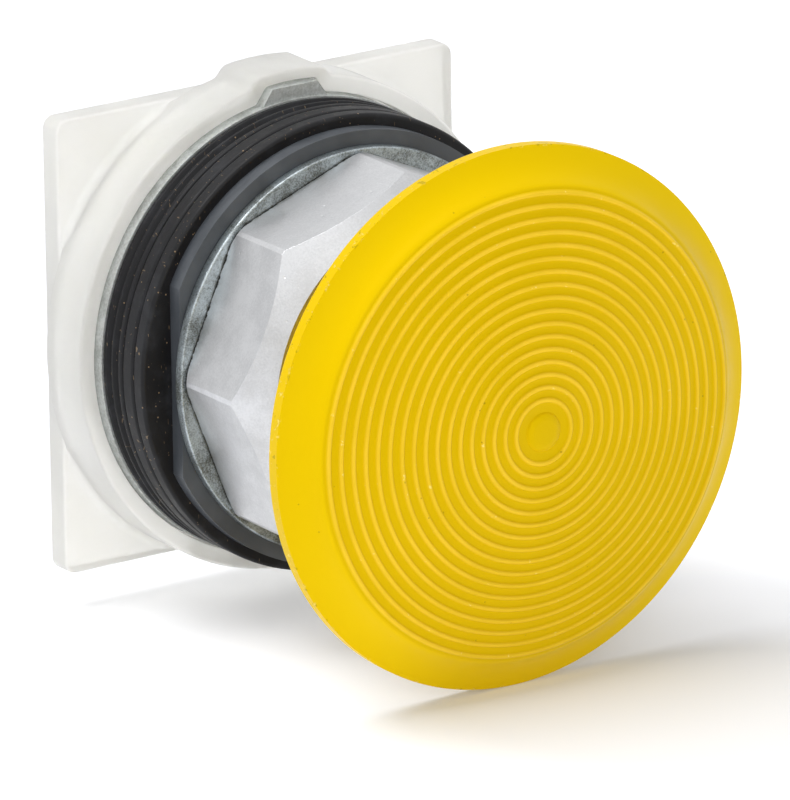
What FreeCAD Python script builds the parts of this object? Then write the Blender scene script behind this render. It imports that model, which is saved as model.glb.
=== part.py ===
"""Panel push button with a mushroom head, for a 30.5 mm hole.

The axis of the button is Y: the operator faces -Y and +Z is up. The origin is the middle of
the panel seat, which is the front face of the gasket stack. Sizes are in millimetres.
"""
import FreeCAD, Part
import math
import os

V = FreeCAD.Vector
AXIS = V(0, 1, 0)
FULL = 360.0
OVER = 1.0              # how far a cutting tool runs past what it cuts

# ---- Driving sizes -------------------------------------------------------------------------
# Clearances
running = 0.06          # radial, between a sliding or turning piece and its guide
thread_play = 0.08      # radial, between the barrel's thread and what is screwed or slipped on
loose = 0.5             # radial, around a piece that must not touch

# Threaded barrel that goes through the panel
barrel_r = 15.0
barrel_wall = 2.4
barrel_recess = 0.5     # how far its end lies behind the nut's front face
barrel_chamfer = 0.8
thread_pitch = 1.5
thread_depth = 0.6
thread_land = 0.1       # flat left on each crest

# Gasket stack behind the panel, front to rear
gasket_inset = 0.1      # how far the gaskets' rim lies inside the flange's
gasket_front_t = 1.70
gasket_middle_t = 1.87
gasket_rear_t = 3.28
gasket_edge = 0.35      # rounding of each gasket's rim
bead_r = 0.45           # half width of the rib around the rear gasket
bead_groove = 0.4       # depth of the groove at each side of the rib

# Clamping pieces in front of the panel
trim_w = 5.9            # from the barrel's thread to the rim
trim_t = 1.65
trim_flat_cut = 2.1     # depth of each side flat
thrust_w = 4.5
thrust_t = 1.10
thrust_edge = 0.2
nut_wall = 2.9          # from the barrel's thread to a flat
nut_h = 11.15
nut_sides = 8
nut_turn = -1.5         # degrees that the nut has stopped short of square
nut_front_w = 1.3       # width of the flat ring at its front
nut_cone_angle = 44.0   # degrees from the axis
nut_rear_chamfer = 0.5
nut_mouth = 0.4

# Key that stops the button turning in the panel
key_w = 4.4
key_proud = 1.2
key_sunk = 0.8
key_end_gap = 0.15

# Cast body behind the panel
drum_w = 4.5            # from the barrel's thread to the drum's rim
drum_edge = 0.4
flange_step = 2.6       # from the drum's rim to the flange's rim
flange_t = 3.5
flange_bare = 0.9       # width of rim left bare in front of the rear cap
nib_w = 5.0             # across the nib's top
nib_flank = 35.0        # degrees that each flank of the nib leans in
nib_proud = 1.3
nib_root = 1.0
nib_gap = 0.2           # from the flange's front face back to the nib
web_t = 2.0
web_ahead = 5.65        # from the flange's front face forward to the web's

# Fixing for contact blocks
contact_edge = 3.4      # wall between an insert and the drum's rim
contact_wall = 0.9      # wall between an insert and the cavity
contact_thread_r = 1.75
contact_insert_r = 2.6
contact_insert_l = 5.0
contact_relief = 0.8

# Plunger group
travel = 5.5
press_gap = 1.0         # left between the hub and the wiper seal when pressed
plunger_gap = 0.7       # left between the plunger and the web when pressed
plunger_r = 9.0
plunger_side = 2.6
plunger_wall = 4.0      # thickness of its closed front end
plunger_edge = 0.5
bushing_past = 0.2      # left of the bushing behind the o-ring when pressed
seal_t = 0.8
seal_lip = 0.9
seal_lip_w = 0.6
seal_root_w = 1.3
ring_w = 1.2            # o-ring section
ring_lead = 1.0         # from the bushing's front end to the o-ring groove
ring_edge = 0.3
ring_gap = 0.05
stem_r = 3.0
stem_shoulder = 0.5
stem_lead = 0.8         # how far the thread stops short in the insert
bumper_t = 1.0
stop_inset = 2.0        # how far the stop washer's rim lies inside the foot's
stop_washer_t = 0.7
clip_t = 0.8
clip_groove = 0.6
clip_w = 2.3
clip_opening = 1.2      # share of the inner radius that stays open
foot_room = 1.5         # radial, between the foot and the cavity
foot_past = 1.1         # how far the pressed foot stands out of the drum
foot_t = 3.1
foot_chamfer = 1.2
foot_edge = 0.4
foot_seat = 1.3
screw_r = 1.5
screw_head_r = 2.9
screw_head_t = 0.9
screw_head_sunk = 0.1
screw_head_play = 0.2
screw_bite = 4.5
screw_slot_w = 0.7
screw_slot_reach = 0.6  # share of the head's radius
screw_slot_depth = 0.5
spring_wire_r = 0.5
spring_turns = 6.5
seat_t = 0.8            # thickness of the washer at each end of the spring
seat_play = 0.2

# Mushroom head
head_r = 25.8
head_rim = 1.4          # width of the cylindrical rim
head_rim_edge = 0.3
head_bevel_w = 3.3
head_bevel_crown = 0.41
head_dome = 5.9         # from the middle of the rim to the dome's top
head_dome_edge = 3.2    # the same, at the edge of the dome
head_wall = 2.6
head_lip = 2.2          # radial thickness of the rim's back edge
head_lip_slope = 1.0
hub_r = 7.5
hub_l = 10.0            # from the lock washer to the underside of the dome
lock_washer_t = 0.8
insert_r = 4.2
insert_l = 7.4
insert_groove = 0.35
button_r = 1.75         # raised disc in the middle
button_h = 0.25
button_edge = 0.15
ridge_first_r = 3.03
ridge_pitch = 1.18
ridge_w = 0.56
ridge_h = 0.24

# Rear cap
cap_play = 0.15         # radial, between the flange and the cap
cap_wall = 1.6
cap_drum_play = 1.48    # radial, between the drum and the cap
cap_plate_inset = 1.7   # how far each plate edge lies inside the collar's rim
cap_plate_t = 2.54
cap_plate_corner = 1.2
cap_floor = 1.5
cap_play_behind = 0.55  # between the drum's rear face and the plate's front face
cap_bump_h = 0.9
cap_bump_w = 7.2        # across the bump's top
cap_bump_flank = 35.0   # degrees that each flank of the bump leans in
cap_pocket_play = 0.25

# ---- Radii that follow -----------------------------------------------------------------------
slip_r = barrel_r + thread_play
barrel_bore_r = barrel_r - barrel_wall
drum_r = barrel_r + drum_w
flange_r = drum_r + flange_step
gasket_r = flange_r - gasket_inset
trim_r = barrel_r + trim_w
thrust_r = barrel_r + thrust_w
nut_flat_r = barrel_r + nut_wall
nut_front_r = barrel_r + nut_front_w
contact_r = drum_r - contact_edge - contact_insert_r
cavity_r = contact_r - contact_insert_r - contact_wall
foot_r = cavity_r - foot_room
stop_r = foot_r - stop_inset
plunger_bore_r = plunger_r - plunger_side
bush_r = plunger_r + running
seat_r = plunger_bore_r - seat_play
stem_thread_r = stem_r - stem_shoulder
clip_r = stem_r - clip_groove + clip_w
head_dome_r = head_r - head_bevel_w
cap_bore_r = flange_r + cap_play
cap_r = cap_bore_r + cap_wall
cap_inner_r = drum_r + cap_drum_play
cap_bump_r = cap_r + cap_bump_h
cap_half_plate = cap_r - cap_plate_inset

# ---- Places along the axis that follow, front to the negative side ---------------------------
gasket_split_1 = gasket_front_t
gasket_split_2 = gasket_split_1 + gasket_middle_t
flange_front = gasket_split_2 + gasket_rear_t
flange_rear = flange_front + flange_t
trim_front = -trim_t
nut_rear = trim_front - thrust_t
nut_front = nut_rear - nut_h
barrel_front = nut_front + barrel_recess
web_front = flange_front - web_ahead
web_rear = web_front + web_t
bumper_rear = web_rear + bumper_t
stop_rear = bumper_rear + stop_washer_t
clip_rear = stop_rear + clip_t
foot_rear = clip_rear + foot_t
stem_rear = clip_rear + foot_seat
foot_web_rear = foot_rear - screw_head_t - screw_head_sunk
drum_rear = foot_rear + travel - foot_past
cap_mouth = flange_front + flange_bare
cap_plate_front = drum_rear + cap_play_behind
cap_rear = cap_plate_front + cap_plate_t
cap_inside = cap_rear - cap_floor
hub_rear = barrel_front - seal_lip - press_gap - travel
plunger_face = hub_rear + lock_washer_t
plunger_seat = plunger_face + plunger_wall
plunger_rear = web_front - travel - plunger_gap
seal_rear = barrel_front + seal_t
ring_front = seal_rear + ring_lead
ring_rear = ring_front + ring_w
bushing_rear = ring_rear + travel + bushing_past
spring_front = plunger_seat + seat_t
spring_rear = web_front - seat_t
head_under = hub_rear - hub_l
rim_y = head_under - head_wall + head_dome


# ---- Helpers ---------------------------------------------------------------------------------
def rod(radius, front, rear, x=0.0, z=0.0):
    """Solid cylinder along the axis from front to rear."""
    return Part.makeCylinder(radius, rear - front, V(x, front, z), AXIS)


def ring(r_in, r_out, front, rear):
    """Plain ring about the axis."""
    return rod(r_out, front, rear).cut(rod(r_in, front - OVER, rear + OVER))


def turned(outline):
    """Solid of revolution from a closed outline of (radius, y) points.

    A point may carry a third value, the (radius, y) of a point that an arc passes through on
    the way to the next point.
    """
    edges = []
    for here, after in zip(outline, outline[1:] + outline[:1]):
        start = V(here[0], here[1], 0)
        end = V(after[0], after[1], 0)
        if len(here) == 3:
            middle = V(here[2][0], here[2][1], 0)
            edges.append(Part.Arc(start, middle, end).toShape())
        else:
            edges.append(Part.LineSegment(start, end).toShape())
    face = Part.Face(Part.Wire(edges))
    solid = face.revolve(V(0, 0, 0), AXIS, FULL)
    if solid.Volume < 0:
        solid.reverse()
    return solid


def block(x0, x1, front, rear, z0, z1):
    """Box between two corners."""
    return Part.makeBox(x1 - x0, rear - front, z1 - z0, V(x0, front, z0))


def wedge(half, flank, front, rear, low, high):
    """Prism that is `half` wide each side at its top, `high`, and wider below by the lean of its flanks."""
    foot = half + (high - low) * math.tan(math.radians(flank))
    section = [V(-foot, front, low), V(foot, front, low), V(half, front, high), V(-half, front, high)]
    return Part.Face(Part.makePolygon(section + section[:1])).extrude(V(0, rear - front, 0))


def spread(shape, degrees):
    """The shape turned about the axis."""
    turned_shape = shape.copy()
    turned_shape.rotate(V(0, 0, 0), AXIS, degrees)
    return turned_shape


def save(name, shape):
    """Write one sub-part, after checking that it is sound."""
    clean = shape.removeSplitter()
    if not clean.isValid() or clean.Volume <= 0:
        clean = shape
    print(f"{name:22s} valid {clean.isValid()} solids {len(clean.Solids)} volume {clean.Volume:.1f}")
    clean.exportStep(f"parts/{name}.step")


# ---- Head group ------------------------------------------------------------------------------
def dome_height(radius, drop, top):
    """Height of a shallow dome that falls by drop at head_dome_r."""
    sphere_r = (head_dome_r ** 2 + drop ** 2) / (2 * drop)
    return top - sphere_r + math.sqrt(sphere_r ** 2 - radius ** 2)


def head_face(radius):
    """Y of the head's smooth front face."""
    return rim_y - dome_height(radius, head_dome - head_dome_edge, head_dome)


def head_back(radius):
    """Y of the head's underside, one wall behind the face."""
    return head_face(radius) + head_wall


def ridge_radii():
    """Middle radius of each round ridge, as far out as the dome goes."""
    count = int((head_dome_r - ridge_w / 2 - ridge_first_r) / ridge_pitch) + 1
    return [ridge_first_r + ridge_pitch * k for k in range(count)]


def bevel_middle():
    """Point that the crowned bevel passes through, halfway down it."""
    top = head_face(head_dome_r)
    bottom = rim_y - head_rim / 2
    length = math.hypot(head_bevel_w, bottom - top)
    out = head_bevel_crown * (bottom - top) / length
    ahead = head_bevel_crown * head_bevel_w / length
    return (head_dome_r + head_r) / 2 + out, (top + bottom) / 2 - ahead


def mushroom_head():
    """Shell with ridges on its face, a bevel to the rim and a hub behind."""
    half_rim = head_rim / 2
    crest = rim_y - head_dome - button_h
    outline = [(0, crest), (button_r - button_edge, crest)]
    outline.append((button_r, head_face(button_r)))
    previous = button_r
    for radius in ridge_radii():
        inner = radius - ridge_w / 2
        outer = radius + ridge_w / 2
        middle = (previous + inner) / 2
        outline[-1] = outline[-1] + ((middle, head_face(middle)),)
        outline.append((inner, head_face(inner), (radius, head_face(radius) - ridge_h)))
        outline.append((outer, head_face(outer)))
        previous = outer
    middle = (previous + head_dome_r) / 2
    outline[-1] = outline[-1] + ((middle, head_face(middle)),)
    outline.append((head_dome_r, head_face(head_dome_r), bevel_middle()))
    outline.append((head_r, rim_y - half_rim))
    outline.append((head_r, rim_y + half_rim - head_rim_edge))
    outline.append((head_r - head_rim_edge, rim_y + half_rim))
    outline.append((head_r - head_lip, rim_y + half_rim))
    recess_r = head_r - head_lip - head_lip_slope
    halfway = (recess_r + hub_r) / 2
    outline.append((recess_r, head_back(recess_r), (halfway, head_back(halfway))))
    outline.append((hub_r, head_back(hub_r)))
    outline.append((hub_r, hub_rear))
    outline.append((insert_r, hub_rear))
    outline.append((insert_r, hub_rear - insert_l))
    outline.append((0, hub_rear - insert_l))
    return turned(outline)


def head_insert():
    """Threaded brass bush moulded into the hub."""
    third = insert_l / 3
    waist = insert_r - insert_groove
    front = hub_rear - insert_l
    outline = [(stem_thread_r, front), (insert_r, front), (insert_r, front + third)]
    outline += [(waist, front + third + insert_groove), (waist, hub_rear - third - insert_groove)]
    outline += [(insert_r, hub_rear - third), (insert_r, hub_rear), (stem_thread_r, hub_rear)]
    return turned(outline)


def plunger_stem():
    """Steel stem: threaded front end, plain shank, clip groove and a tapped rear end."""
    tip = hub_rear - insert_l + stem_lead
    outline = [(0, tip), (stem_thread_r - stem_shoulder, tip)]
    outline += [(stem_thread_r, tip + stem_shoulder), (stem_thread_r, hub_rear), (stem_r, hub_rear)]
    outline += [(stem_r, stop_rear), (stem_r - clip_groove, stop_rear)]
    outline += [(stem_r - clip_groove, clip_rear), (stem_r, clip_rear), (stem_r, stem_rear)]
    outline += [(screw_r, stem_rear), (screw_r, foot_web_rear - screw_bite), (0, foot_web_rear - screw_bite)]
    return turned(outline)


def plunger_guide():
    """Moulded cup that runs in the bushing and holds the front of the spring."""
    outline = [(stem_r, plunger_face), (plunger_r - plunger_edge, plunger_face)]
    outline += [(plunger_r, plunger_face + plunger_edge), (plunger_r, ring_front)]
    outline += [(plunger_r - ring_w, ring_front), (plunger_r - ring_w, ring_rear)]
    outline += [(plunger_r, ring_rear), (plunger_r, plunger_rear)]
    outline += [(plunger_bore_r, plunger_rear), (plunger_bore_r, plunger_seat), (stem_r, plunger_seat)]
    return turned(outline)


def o_ring():
    """Rubber ring in the plunger's groove, squeezed to a flat outside."""
    front = ring_front + ring_gap
    rear = ring_rear - ring_gap
    inner = plunger_r - ring_w
    crown = (plunger_r + running / 2, (front + rear) / 2)
    outline = [(inner, front + ring_edge), (inner + ring_edge, front)]
    outline += [(plunger_r - ring_edge, front), crown, (plunger_r - ring_edge, rear)]
    outline += [(inner + ring_edge, rear), (inner, rear - ring_edge)]
    return turned(outline)


def retaining_clip():
    """Open ring in the stem's groove."""
    inner = stem_r - clip_groove
    half = inner * clip_opening / 2
    gap = block(-half, half, stop_rear - OVER, clip_rear + OVER, -clip_r - OVER, 0)
    return ring(inner, clip_r, stop_rear, clip_rear).cut(gap)


def actuator_foot():
    """Moulded disc that presses the contact blocks."""
    recess_r = screw_head_r + screw_head_play
    outline = [(stem_r, clip_rear), (foot_r - foot_chamfer, clip_rear), (foot_r, clip_rear + foot_chamfer)]
    outline += [(foot_r, foot_rear - foot_edge), (foot_r - foot_edge, foot_rear), (recess_r, foot_rear)]
    outline += [(recess_r, foot_web_rear), (screw_r, foot_web_rear)]
    outline += [(screw_r, stem_rear), (stem_r, stem_rear)]
    return turned(outline)


def foot_screw():
    """Pan head screw with a crossed recess."""
    head_rear = foot_web_rear + screw_head_t
    solid = rod(screw_r, foot_web_rear - screw_bite, foot_web_rear)
    head = rod(screw_head_r, foot_web_rear, head_rear)
    solid = solid.fuse(head)
    half = screw_slot_w / 2
    reach = screw_head_r * screw_slot_reach
    for turn in (0, 90):
        cut = block(-reach, reach, head_rear - screw_slot_depth, head_rear + OVER, -half, half)
        solid = solid.cut(spread(cut, turn))
    return solid


def return_spring():
    """Round wire spring between its two washers."""
    length = spring_rear - spring_front - 2 * spring_wire_r
    mean_r = plunger_bore_r - loose - spring_wire_r
    helix = Part.makeHelix(length / spring_turns, length, mean_r)
    wire = Part.Wire(helix.Edges)
    inner = V(mean_r - spring_wire_r, 0, 0)
    outer = V(mean_r + spring_wire_r, 0, 0)
    upper = Part.Arc(outer, V(mean_r, 0, spring_wire_r), inner).toShape()
    lower = Part.Arc(inner, V(mean_r, 0, -spring_wire_r), outer).toShape()
    pipe = wire.makePipeShell([Part.Wire([upper, lower])], True, True)
    pipe.rotate(V(0, 0, 0), V(1, 0, 0), -90)
    pipe.translate(V(0, spring_front + spring_wire_r, 0))
    return pipe


# ---- Body group ------------------------------------------------------------------------------
def contact_sides():
    """X of the two contact fixings."""
    return -contact_r, contact_r


def key_span():
    """Front and rear Y of the panel key."""
    return trim_front + key_end_gap, gasket_split_1 - key_end_gap


def operator_body():
    """Casting: threaded barrel, flange with its locating nib, web and rear drum."""
    outline = [(barrel_bore_r, barrel_front), (barrel_r - barrel_chamfer, barrel_front)]
    front = barrel_front + barrel_chamfer
    outline.append((barrel_r, front))
    root_r = barrel_r - thread_depth
    while front + thread_pitch < flange_front:
        middle = front + thread_land + (thread_pitch - thread_land) / 2
        outline += [(barrel_r, front + thread_land), (root_r, middle), (barrel_r, front + thread_pitch)]
        front += thread_pitch
    outline += [(barrel_r, flange_front), (flange_r, flange_front), (flange_r, flange_rear)]
    outline += [(drum_r, flange_rear), (drum_r, drum_rear - drum_edge), (drum_r - drum_edge, drum_rear)]
    outline += [(cavity_r, drum_rear), (cavity_r, web_rear), (stem_r + running, web_rear)]
    outline += [(stem_r + running, web_front), (barrel_bore_r, web_front)]
    solid = turned(outline)
    nib_front = flange_front + nib_gap
    nib = wedge(nib_w / 2, nib_flank, nib_front, flange_rear, flange_r - nib_root, flange_r + nib_proud)
    solid = solid.fuse(nib)
    key_front, key_rear = key_span()
    slot = block(-key_w / 2, key_w / 2, key_front, key_rear, barrel_r - key_sunk, barrel_r + OVER)
    solid = solid.cut(slot)
    for x in contact_sides():
        seat_front = drum_rear - contact_insert_l
        solid = solid.cut(rod(contact_insert_r, seat_front, drum_rear + OVER, x))
        solid = solid.cut(rod(contact_thread_r, seat_front - contact_relief, seat_front + OVER, x))
    return solid


def contact_insert(x):
    """Tapped brass bush for one contact block screw."""
    front = drum_rear - contact_insert_l
    solid = rod(contact_insert_r, front, drum_rear, x)
    return solid.cut(rod(contact_thread_r, front - OVER, drum_rear + OVER, x))


def panel_key():
    """Steel key across the barrel, the panel and the washers' notches."""
    front, rear = key_span()
    return block(-key_w / 2, key_w / 2, front, rear, barrel_r - key_sunk, barrel_r + key_proud)


def key_notch(front, rear):
    """Notch that the key leaves in whatever slips over the barrel."""
    half = key_w / 2 + thread_play
    return block(-half, half, front - OVER, rear + OVER, 0, barrel_r + key_proud + thread_play)


def guide_bushing():
    """Plain bush pressed into the barrel."""
    return ring(bush_r, barrel_bore_r, seal_rear, bushing_rear)


def wiper_seal():
    """Rubber ring in the barrel's mouth, with a lip that leans forward."""
    lip = barrel_front - seal_lip
    outline = [(bush_r, lip), (bush_r + seal_lip_w, lip), (bush_r + seal_root_w, barrel_front)]
    outline += [(barrel_bore_r, barrel_front), (barrel_bore_r, seal_rear), (bush_r, seal_rear)]
    return turned(outline)


# ---- Panel clamping group --------------------------------------------------------------------
def gasket(front, rear, edge=gasket_edge):
    """Flat rubber ring with rounded rim edges."""
    side = edge * 0.3
    outline = [(slip_r, front), (gasket_r - edge, front, (gasket_r - side, front + side))]
    outline += [(gasket_r, front + edge), (gasket_r, rear - edge, (gasket_r - side, rear - side))]
    outline += [(gasket_r - edge, rear), (slip_r, rear)]
    return turned(outline)


def gasket_rear():
    """Thick gasket with a rib around the middle of its rim."""
    middle = (gasket_split_2 + flange_front) / 2
    solid = gasket(gasket_split_2, flange_front)
    for front in (middle - 2 * bead_r, middle + bead_r):
        solid = solid.cut(ring(gasket_r - bead_groove, gasket_r + OVER, front, front + bead_r))
    return solid


def trim_washer():
    """Plastic washer with two side flats and a notch for the key."""
    solid = ring(slip_r, trim_r, trim_front, 0)
    flat = trim_r - trim_flat_cut
    keep = block(-flat, flat, trim_front - OVER, OVER, -trim_r - OVER, trim_r + OVER)
    return solid.common(keep).cut(key_notch(trim_front, 0))


def thrust_washer():
    """Zinc plated washer under the nut."""
    flat_r = thrust_r - thrust_edge
    outline = [(slip_r, nut_rear), (flat_r, nut_rear), (thrust_r, nut_rear + thrust_edge)]
    outline += [(thrust_r, trim_front - thrust_edge), (flat_r, trim_front), (slip_r, trim_front)]
    return turned(outline)


def ring_nut():
    """Eight sided ring nut with a coned front."""
    corner_r = nut_flat_r / math.cos(math.pi / nut_sides)
    step = 2 * math.pi / nut_sides
    corners = [V(corner_r * math.cos(step * k), nut_front, corner_r * math.sin(step * k))
               for k in range(nut_sides)]
    prism = Part.Face(Part.makePolygon(corners + corners[:1])).extrude(V(0, nut_h, 0))
    prism = spread(prism, -nut_turn)
    cone_l = (corner_r - nut_front_r) / math.tan(math.radians(nut_cone_angle))
    outline = [(slip_r + nut_mouth, nut_front), (nut_front_r, nut_front), (corner_r, nut_front + cone_l)]
    outline += [(corner_r, nut_rear - nut_rear_chamfer), (corner_r - nut_rear_chamfer, nut_rear)]
    outline += [(slip_r, nut_rear), (slip_r, nut_front + nut_mouth)]
    return turned(outline).common(prism)


# ---- Rear cap --------------------------------------------------------------------------------
def rear_cap():
    """Slip-on cap: collar with a key pocket, closed by a square plate."""
    half = cap_half_plate
    plate = block(-half, half, cap_plate_front, cap_rear, -half, half)
    corner_edges = [e for e in plate.Edges if abs(e.Length - cap_plate_t) < 1e-6]
    plate = plate.makeFillet(cap_plate_corner, corner_edges)
    solid = plate.fuse(rod(cap_r, cap_mouth, cap_plate_front))
    bump = wedge(cap_bump_w / 2, cap_bump_flank, cap_mouth, cap_plate_front, cap_r - cap_wall, cap_bump_r)
    bump = bump.common(rod(cap_bump_r, cap_mouth, cap_plate_front))
    solid = solid.fuse(bump)
    solid = solid.cut(rod(cap_bore_r, cap_mouth - OVER, flange_rear))
    solid = solid.cut(rod(cap_inner_r, flange_rear - OVER, cap_inside))
    lean = math.radians(nib_flank)
    pocket_half = nib_w / 2 + cap_pocket_play * (1 / math.cos(lean) - math.tan(lean))
    pocket_top = flange_r + nib_proud + cap_pocket_play
    pocket = wedge(pocket_half, nib_flank, cap_mouth - OVER, flange_rear, flange_r - nib_root, pocket_top)
    return solid.cut(pocket)


def main():
    """Build every sub-part and write it out."""
    os.makedirs("parts", exist_ok=True)
    left, right = contact_sides()
    pieces = {
        "mushroom_head": mushroom_head(),
        "head_insert": head_insert(),
        "head_lock_washer": ring(stem_r, hub_r, hub_rear, plunger_face),
        "plunger_guide": plunger_guide(),
        "plunger_o_ring": o_ring(),
        "plunger_stem": plunger_stem(),
        "spring_seat_front": ring(stem_r + thread_play, seat_r, plunger_seat, spring_front),
        "return_spring": return_spring(),
        "spring_seat_rear": ring(stem_r + thread_play, seat_r, spring_rear, web_front),
        "stem_bumper": ring(stem_r + loose, stop_r, web_rear, bumper_rear),
        "stop_washer": ring(stem_r, stop_r, bumper_rear, stop_rear),
        "retaining_clip": retaining_clip(),
        "actuator_foot": actuator_foot(),
        "foot_screw": foot_screw(),
        "operator_body": operator_body(),
        "contact_insert_left": contact_insert(left),
        "contact_insert_right": contact_insert(right),
        "panel_key": panel_key(),
        "guide_bushing": guide_bushing(),
        "wiper_seal": wiper_seal(),
        "gasket_front": gasket(0, gasket_split_1).cut(key_notch(0, gasket_split_1)),
        "gasket_middle": gasket(gasket_split_1, gasket_split_2),
        "gasket_rear": gasket_rear(),
        "trim_washer": trim_washer(),
        "thrust_washer": thrust_washer(),
        "ring_nut": ring_nut(),
        "rear_cap": rear_cap(),
    }
    for name, shape in pieces.items():
        save(name, shape)


main()
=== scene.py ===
"""Looks of a panel push button with a mushroom head, built around its fixed frame.

Everything is in metres, in the frame of the part: the button's axis is Y, the operator faces
-Y, +Z is up, and the origin is the middle of the panel seat.
"""
import logging
import math
from dataclasses import dataclass
from enum import Enum
from typing import Callable, Iterable, Sequence

import bmesh
import bpy
from mathutils import Matrix, Vector


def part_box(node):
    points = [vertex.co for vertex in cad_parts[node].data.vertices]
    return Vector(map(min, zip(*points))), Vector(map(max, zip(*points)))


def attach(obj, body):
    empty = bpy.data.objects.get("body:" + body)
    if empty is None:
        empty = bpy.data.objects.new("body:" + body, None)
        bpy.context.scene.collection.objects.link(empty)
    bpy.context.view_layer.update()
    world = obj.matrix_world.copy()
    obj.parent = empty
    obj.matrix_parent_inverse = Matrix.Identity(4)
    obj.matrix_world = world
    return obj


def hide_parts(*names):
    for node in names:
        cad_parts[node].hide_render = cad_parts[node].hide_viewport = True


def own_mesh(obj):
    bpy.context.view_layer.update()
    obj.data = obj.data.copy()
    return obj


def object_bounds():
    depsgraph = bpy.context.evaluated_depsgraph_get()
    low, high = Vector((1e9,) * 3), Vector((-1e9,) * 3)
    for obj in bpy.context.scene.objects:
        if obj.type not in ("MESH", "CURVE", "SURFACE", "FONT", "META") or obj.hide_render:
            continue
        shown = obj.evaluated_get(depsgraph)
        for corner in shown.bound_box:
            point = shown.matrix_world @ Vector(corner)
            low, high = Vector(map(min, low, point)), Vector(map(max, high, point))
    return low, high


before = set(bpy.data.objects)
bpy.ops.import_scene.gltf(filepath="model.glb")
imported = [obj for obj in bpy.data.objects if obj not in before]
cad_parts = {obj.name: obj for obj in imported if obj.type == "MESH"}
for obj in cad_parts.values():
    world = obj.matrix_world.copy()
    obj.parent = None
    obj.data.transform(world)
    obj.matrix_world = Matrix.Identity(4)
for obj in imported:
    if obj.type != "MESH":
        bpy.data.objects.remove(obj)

CAD_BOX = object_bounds()
LOG = logging.getLogger("push_button")
MM = 0.001
ORIGIN = Vector((0.0, 0.0, 0.0))
AXIS = Vector((0.0, 1.0, 0.0))
FULL_TURN = 2.0 * math.pi
WELD = 1e-7
SMOOTH_UNDER = math.radians(38.0)
QUARTER = (0.0, math.pi / 6, math.pi / 3, math.pi / 2)
NORMAL_WEIGHT = 60
REACH_LIMIT = 0.48
FIRST_RIDGE = 3.03 * MM
RIDGE_PITCH = 1.18 * MM
RIDGE_SHAPE = ((-1.25, 0.0), (-1.0, 0.10), (-0.78, 0.38), (-0.5, 0.75), (-0.2, 0.97),
               (0.2, 0.97), (0.5, 0.75), (0.78, 0.38), (1.0, 0.10), (1.25, 0.0))

Socket = bpy.types.NodeSocket
Material = bpy.types.Material
BMesh = bmesh.types.BMesh
Colour = tuple[float, float, float]
Corner = tuple[float, float, float]
Point = tuple[float, float]
Ring = tuple[list[float], list[float]]


def srgb(red: int, green: int, blue: int) -> Colour:
    """Turn a display colour of 0 to 255 into linear light.

    Args:
        red: Red, 0 to 255.
        green: Green, 0 to 255.
        blue: Blue, 0 to 255.

    Returns:
        The linear colour.
    """
    def linear(value: int) -> float:
        """Undo the display curve of one channel."""
        share = value / 255.0
        return share / 12.92 if share <= 0.04045 else ((share + 0.055) / 1.055) ** 2.4

    return linear(red), linear(green), linear(blue)


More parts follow.
